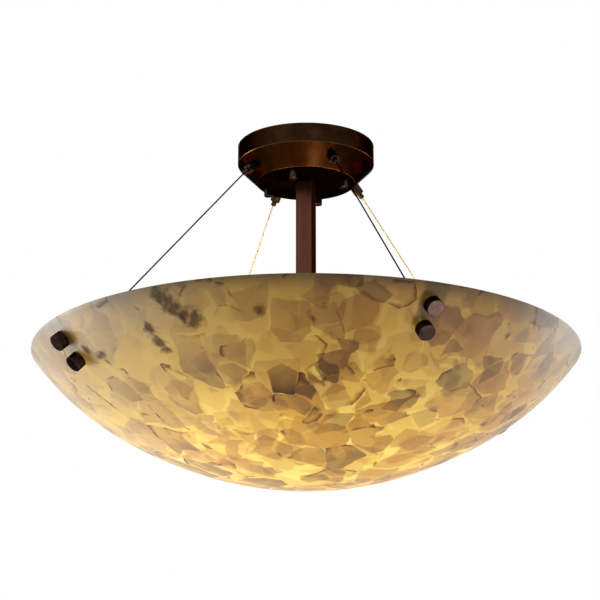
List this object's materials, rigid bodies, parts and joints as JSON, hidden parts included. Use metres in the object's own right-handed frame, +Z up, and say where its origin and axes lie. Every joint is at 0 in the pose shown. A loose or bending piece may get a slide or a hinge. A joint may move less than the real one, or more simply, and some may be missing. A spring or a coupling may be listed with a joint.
{
  "type": "semi flush ceiling light",
  "caption": "Semi flush ceiling light: stone-chip resin bowl hung on taut cables from a stepped round canopy, with a square stem and screw-in lamps.",
  "frame": {"origin": "middle of the canopy's top edge, on the ceiling, at the middle of the outlet-box slots", "axes": "+Z up to the ceiling; the cables hang close to +X, +Y, -X and -Y; the stem's corners point along X and Y"},
  "size_m": [0.5209, 0.5211, 0.3367],
  "materials": {
    "bronze": "dark bronze, satin",
    "zinc_steel": "zinc plated",
    "green_steel": "green dyed plating",
    "wire_rope": "bronze-toned wire rope",
    "stone_resin": "amber stone chips in clear resin, polished",
    "porcelain": "glazed white",
    "brass": "plain",
    "bulb_glass": "frosted, lit",
    "bulb_cap": "plain",
    "rubber": "matte"
  },
  "bodies": {
    "fixture": {"bowl": "stone_resin", "cable_back": "wire_rope", "cable_balls": "zinc_steel", "cable_front": "wire_rope", "cable_left": "wire_rope", "cable_right": "wire_rope", "canopy": "bronze", "canopy_cap_nuts": "bronze", "centre_contacts": "brass", "cluster_body": "bronze", "cluster_end_nut": "bronze", "cluster_lid": "bronze", "cluster_pipe": "zinc_steel", "finial_screws": "zinc_steel", "gripper_body_back": "bronze", "gripper_body_front": "bronze", "gripper_body_left": "bronze", "gripper_body_right": "bronze", "gripper_nuts": "zinc_steel", "gripper_shanks": "zinc_steel", "ground_screw": "green_steel", "hanger_bracket_back": "zinc_steel", "hanger_bracket_front": "zinc_steel", "hanger_bracket_left": "zinc_steel", "hanger_bracket_right": "zinc_steel", "holder_nuts": "zinc_steel", "holder_pipes": "zinc_steel", "inner_washers": "rubber", "lampholder_1": "porcelain", "lampholder_2": "porcelain", "lampholder_3": "porcelain", "lower_finials": "bronze", "mounting_plate": "zinc_steel", "outer_washers": "rubber", "plate_studs": "zinc_steel", "screw_shells": "brass", "stem": "bronze", "stem_bottom_plug": "zinc_steel", "stem_nut": "zinc_steel", "stem_pipe": "zinc_steel", "stem_top_plug": "zinc_steel", "stem_washer": "zinc_steel", "stud_locknuts": "zinc_steel", "upper_finials": "bronze"},
    "nozzle_right": {"gripper_nozzle_right": "bronze", "grip_balls_right": "zinc_steel"},
    "nozzle_back": {"gripper_nozzle_back": "bronze", "grip_balls_back": "zinc_steel"},
    "nozzle_left": {"gripper_nozzle_left": "bronze", "grip_balls_left": "zinc_steel"},
    "nozzle_front": {"gripper_nozzle_front": "bronze", "grip_balls_front": "zinc_steel"},
    "bulb_1": {"bulb_1_glass": "bulb_glass", "bulb_1_base": "bulb_cap"},
    "bulb_2": {"bulb_2_glass": "bulb_glass", "bulb_2_base": "bulb_cap"},
    "bulb_3": {"bulb_3_glass": "bulb_glass", "bulb_3_base": "bulb_cap"}
  },
  "joints": [
    {"name": "release_right", "type": "slide", "parent": "fixture", "child": "nozzle_right", "axis": [-0.7018, -0.0862, 0.7071], "range_m": [0, 0.0015], "stiffness_N_per_m": 1500, "springref_m": -0.0015},
    {"name": "release_back", "type": "slide", "parent": "fixture", "child": "nozzle_back", "axis": [0.0247, -0.7067, 0.7071], "range_m": [0, 0.0015], "stiffness_N_per_m": 1500, "springref_m": -0.0015},
    {"name": "release_left", "type": "slide", "parent": "fixture", "child": "nozzle_left", "axis": [0.7067, 0.0247, 0.7071], "range_m": [0, 0.0015], "stiffness_N_per_m": 1500, "springref_m": -0.0015},
    {"name": "release_front", "type": "slide", "parent": "fixture", "child": "nozzle_front", "axis": [0.0185, 0.7069, 0.7071], "range_m": [0, 0.0015], "stiffness_N_per_m": 1500, "springref_m": -0.0015},
    {"name": "bulb_1_turn", "type": "hinge", "parent": "fixture", "child": "bulb_1", "pos_m": [0, 0, -0.256], "axis": [0.866, 0.5, 0], "range_deg": [0, 1440]},
    {"name": "bulb_2_turn", "type": "hinge", "parent": "fixture", "child": "bulb_2", "pos_m": [0, 0, -0.256], "axis": [-0.866, 0.5, 0], "range_deg": [0, 1440]},
    {"name": "bulb_3_turn", "type": "hinge", "parent": "fixture", "child": "bulb_3", "pos_m": [0, 0, -0.256], "axis": [0, -1, 0], "range_deg": [0, 1440]}
  ]
}
